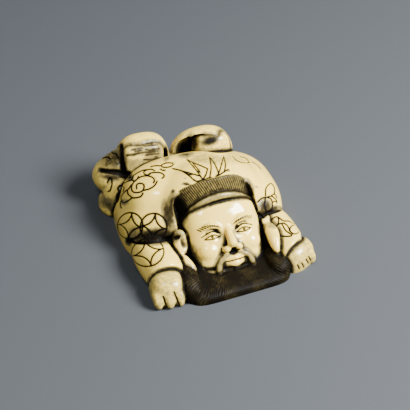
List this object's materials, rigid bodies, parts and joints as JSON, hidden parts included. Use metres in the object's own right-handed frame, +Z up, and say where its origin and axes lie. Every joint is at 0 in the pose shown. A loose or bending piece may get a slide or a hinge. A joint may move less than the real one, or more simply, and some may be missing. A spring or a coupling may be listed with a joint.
{
  "type": "netsuke",
  "caption": "Carved toggle in the form of a bearded man in a cap, crouching with hands flat on the ground, with joined cord holes in its flat underside.",
  "frame": {"origin": "middle of the flat underside", "axes": "+Z up from the underside, -Y the way the man faces, +X to the right as seen from the front"},
  "size_m": [0.0424, 0.0474, 0.0191],
  "materials": {
    "polished_ivory": "polished cream ivory, brown in the recesses and dark brown in the engraved lines"
  },
  "bodies": {
    "root": {"netsuke_figure": "polished_ivory"}
  },
  "joints": []
}
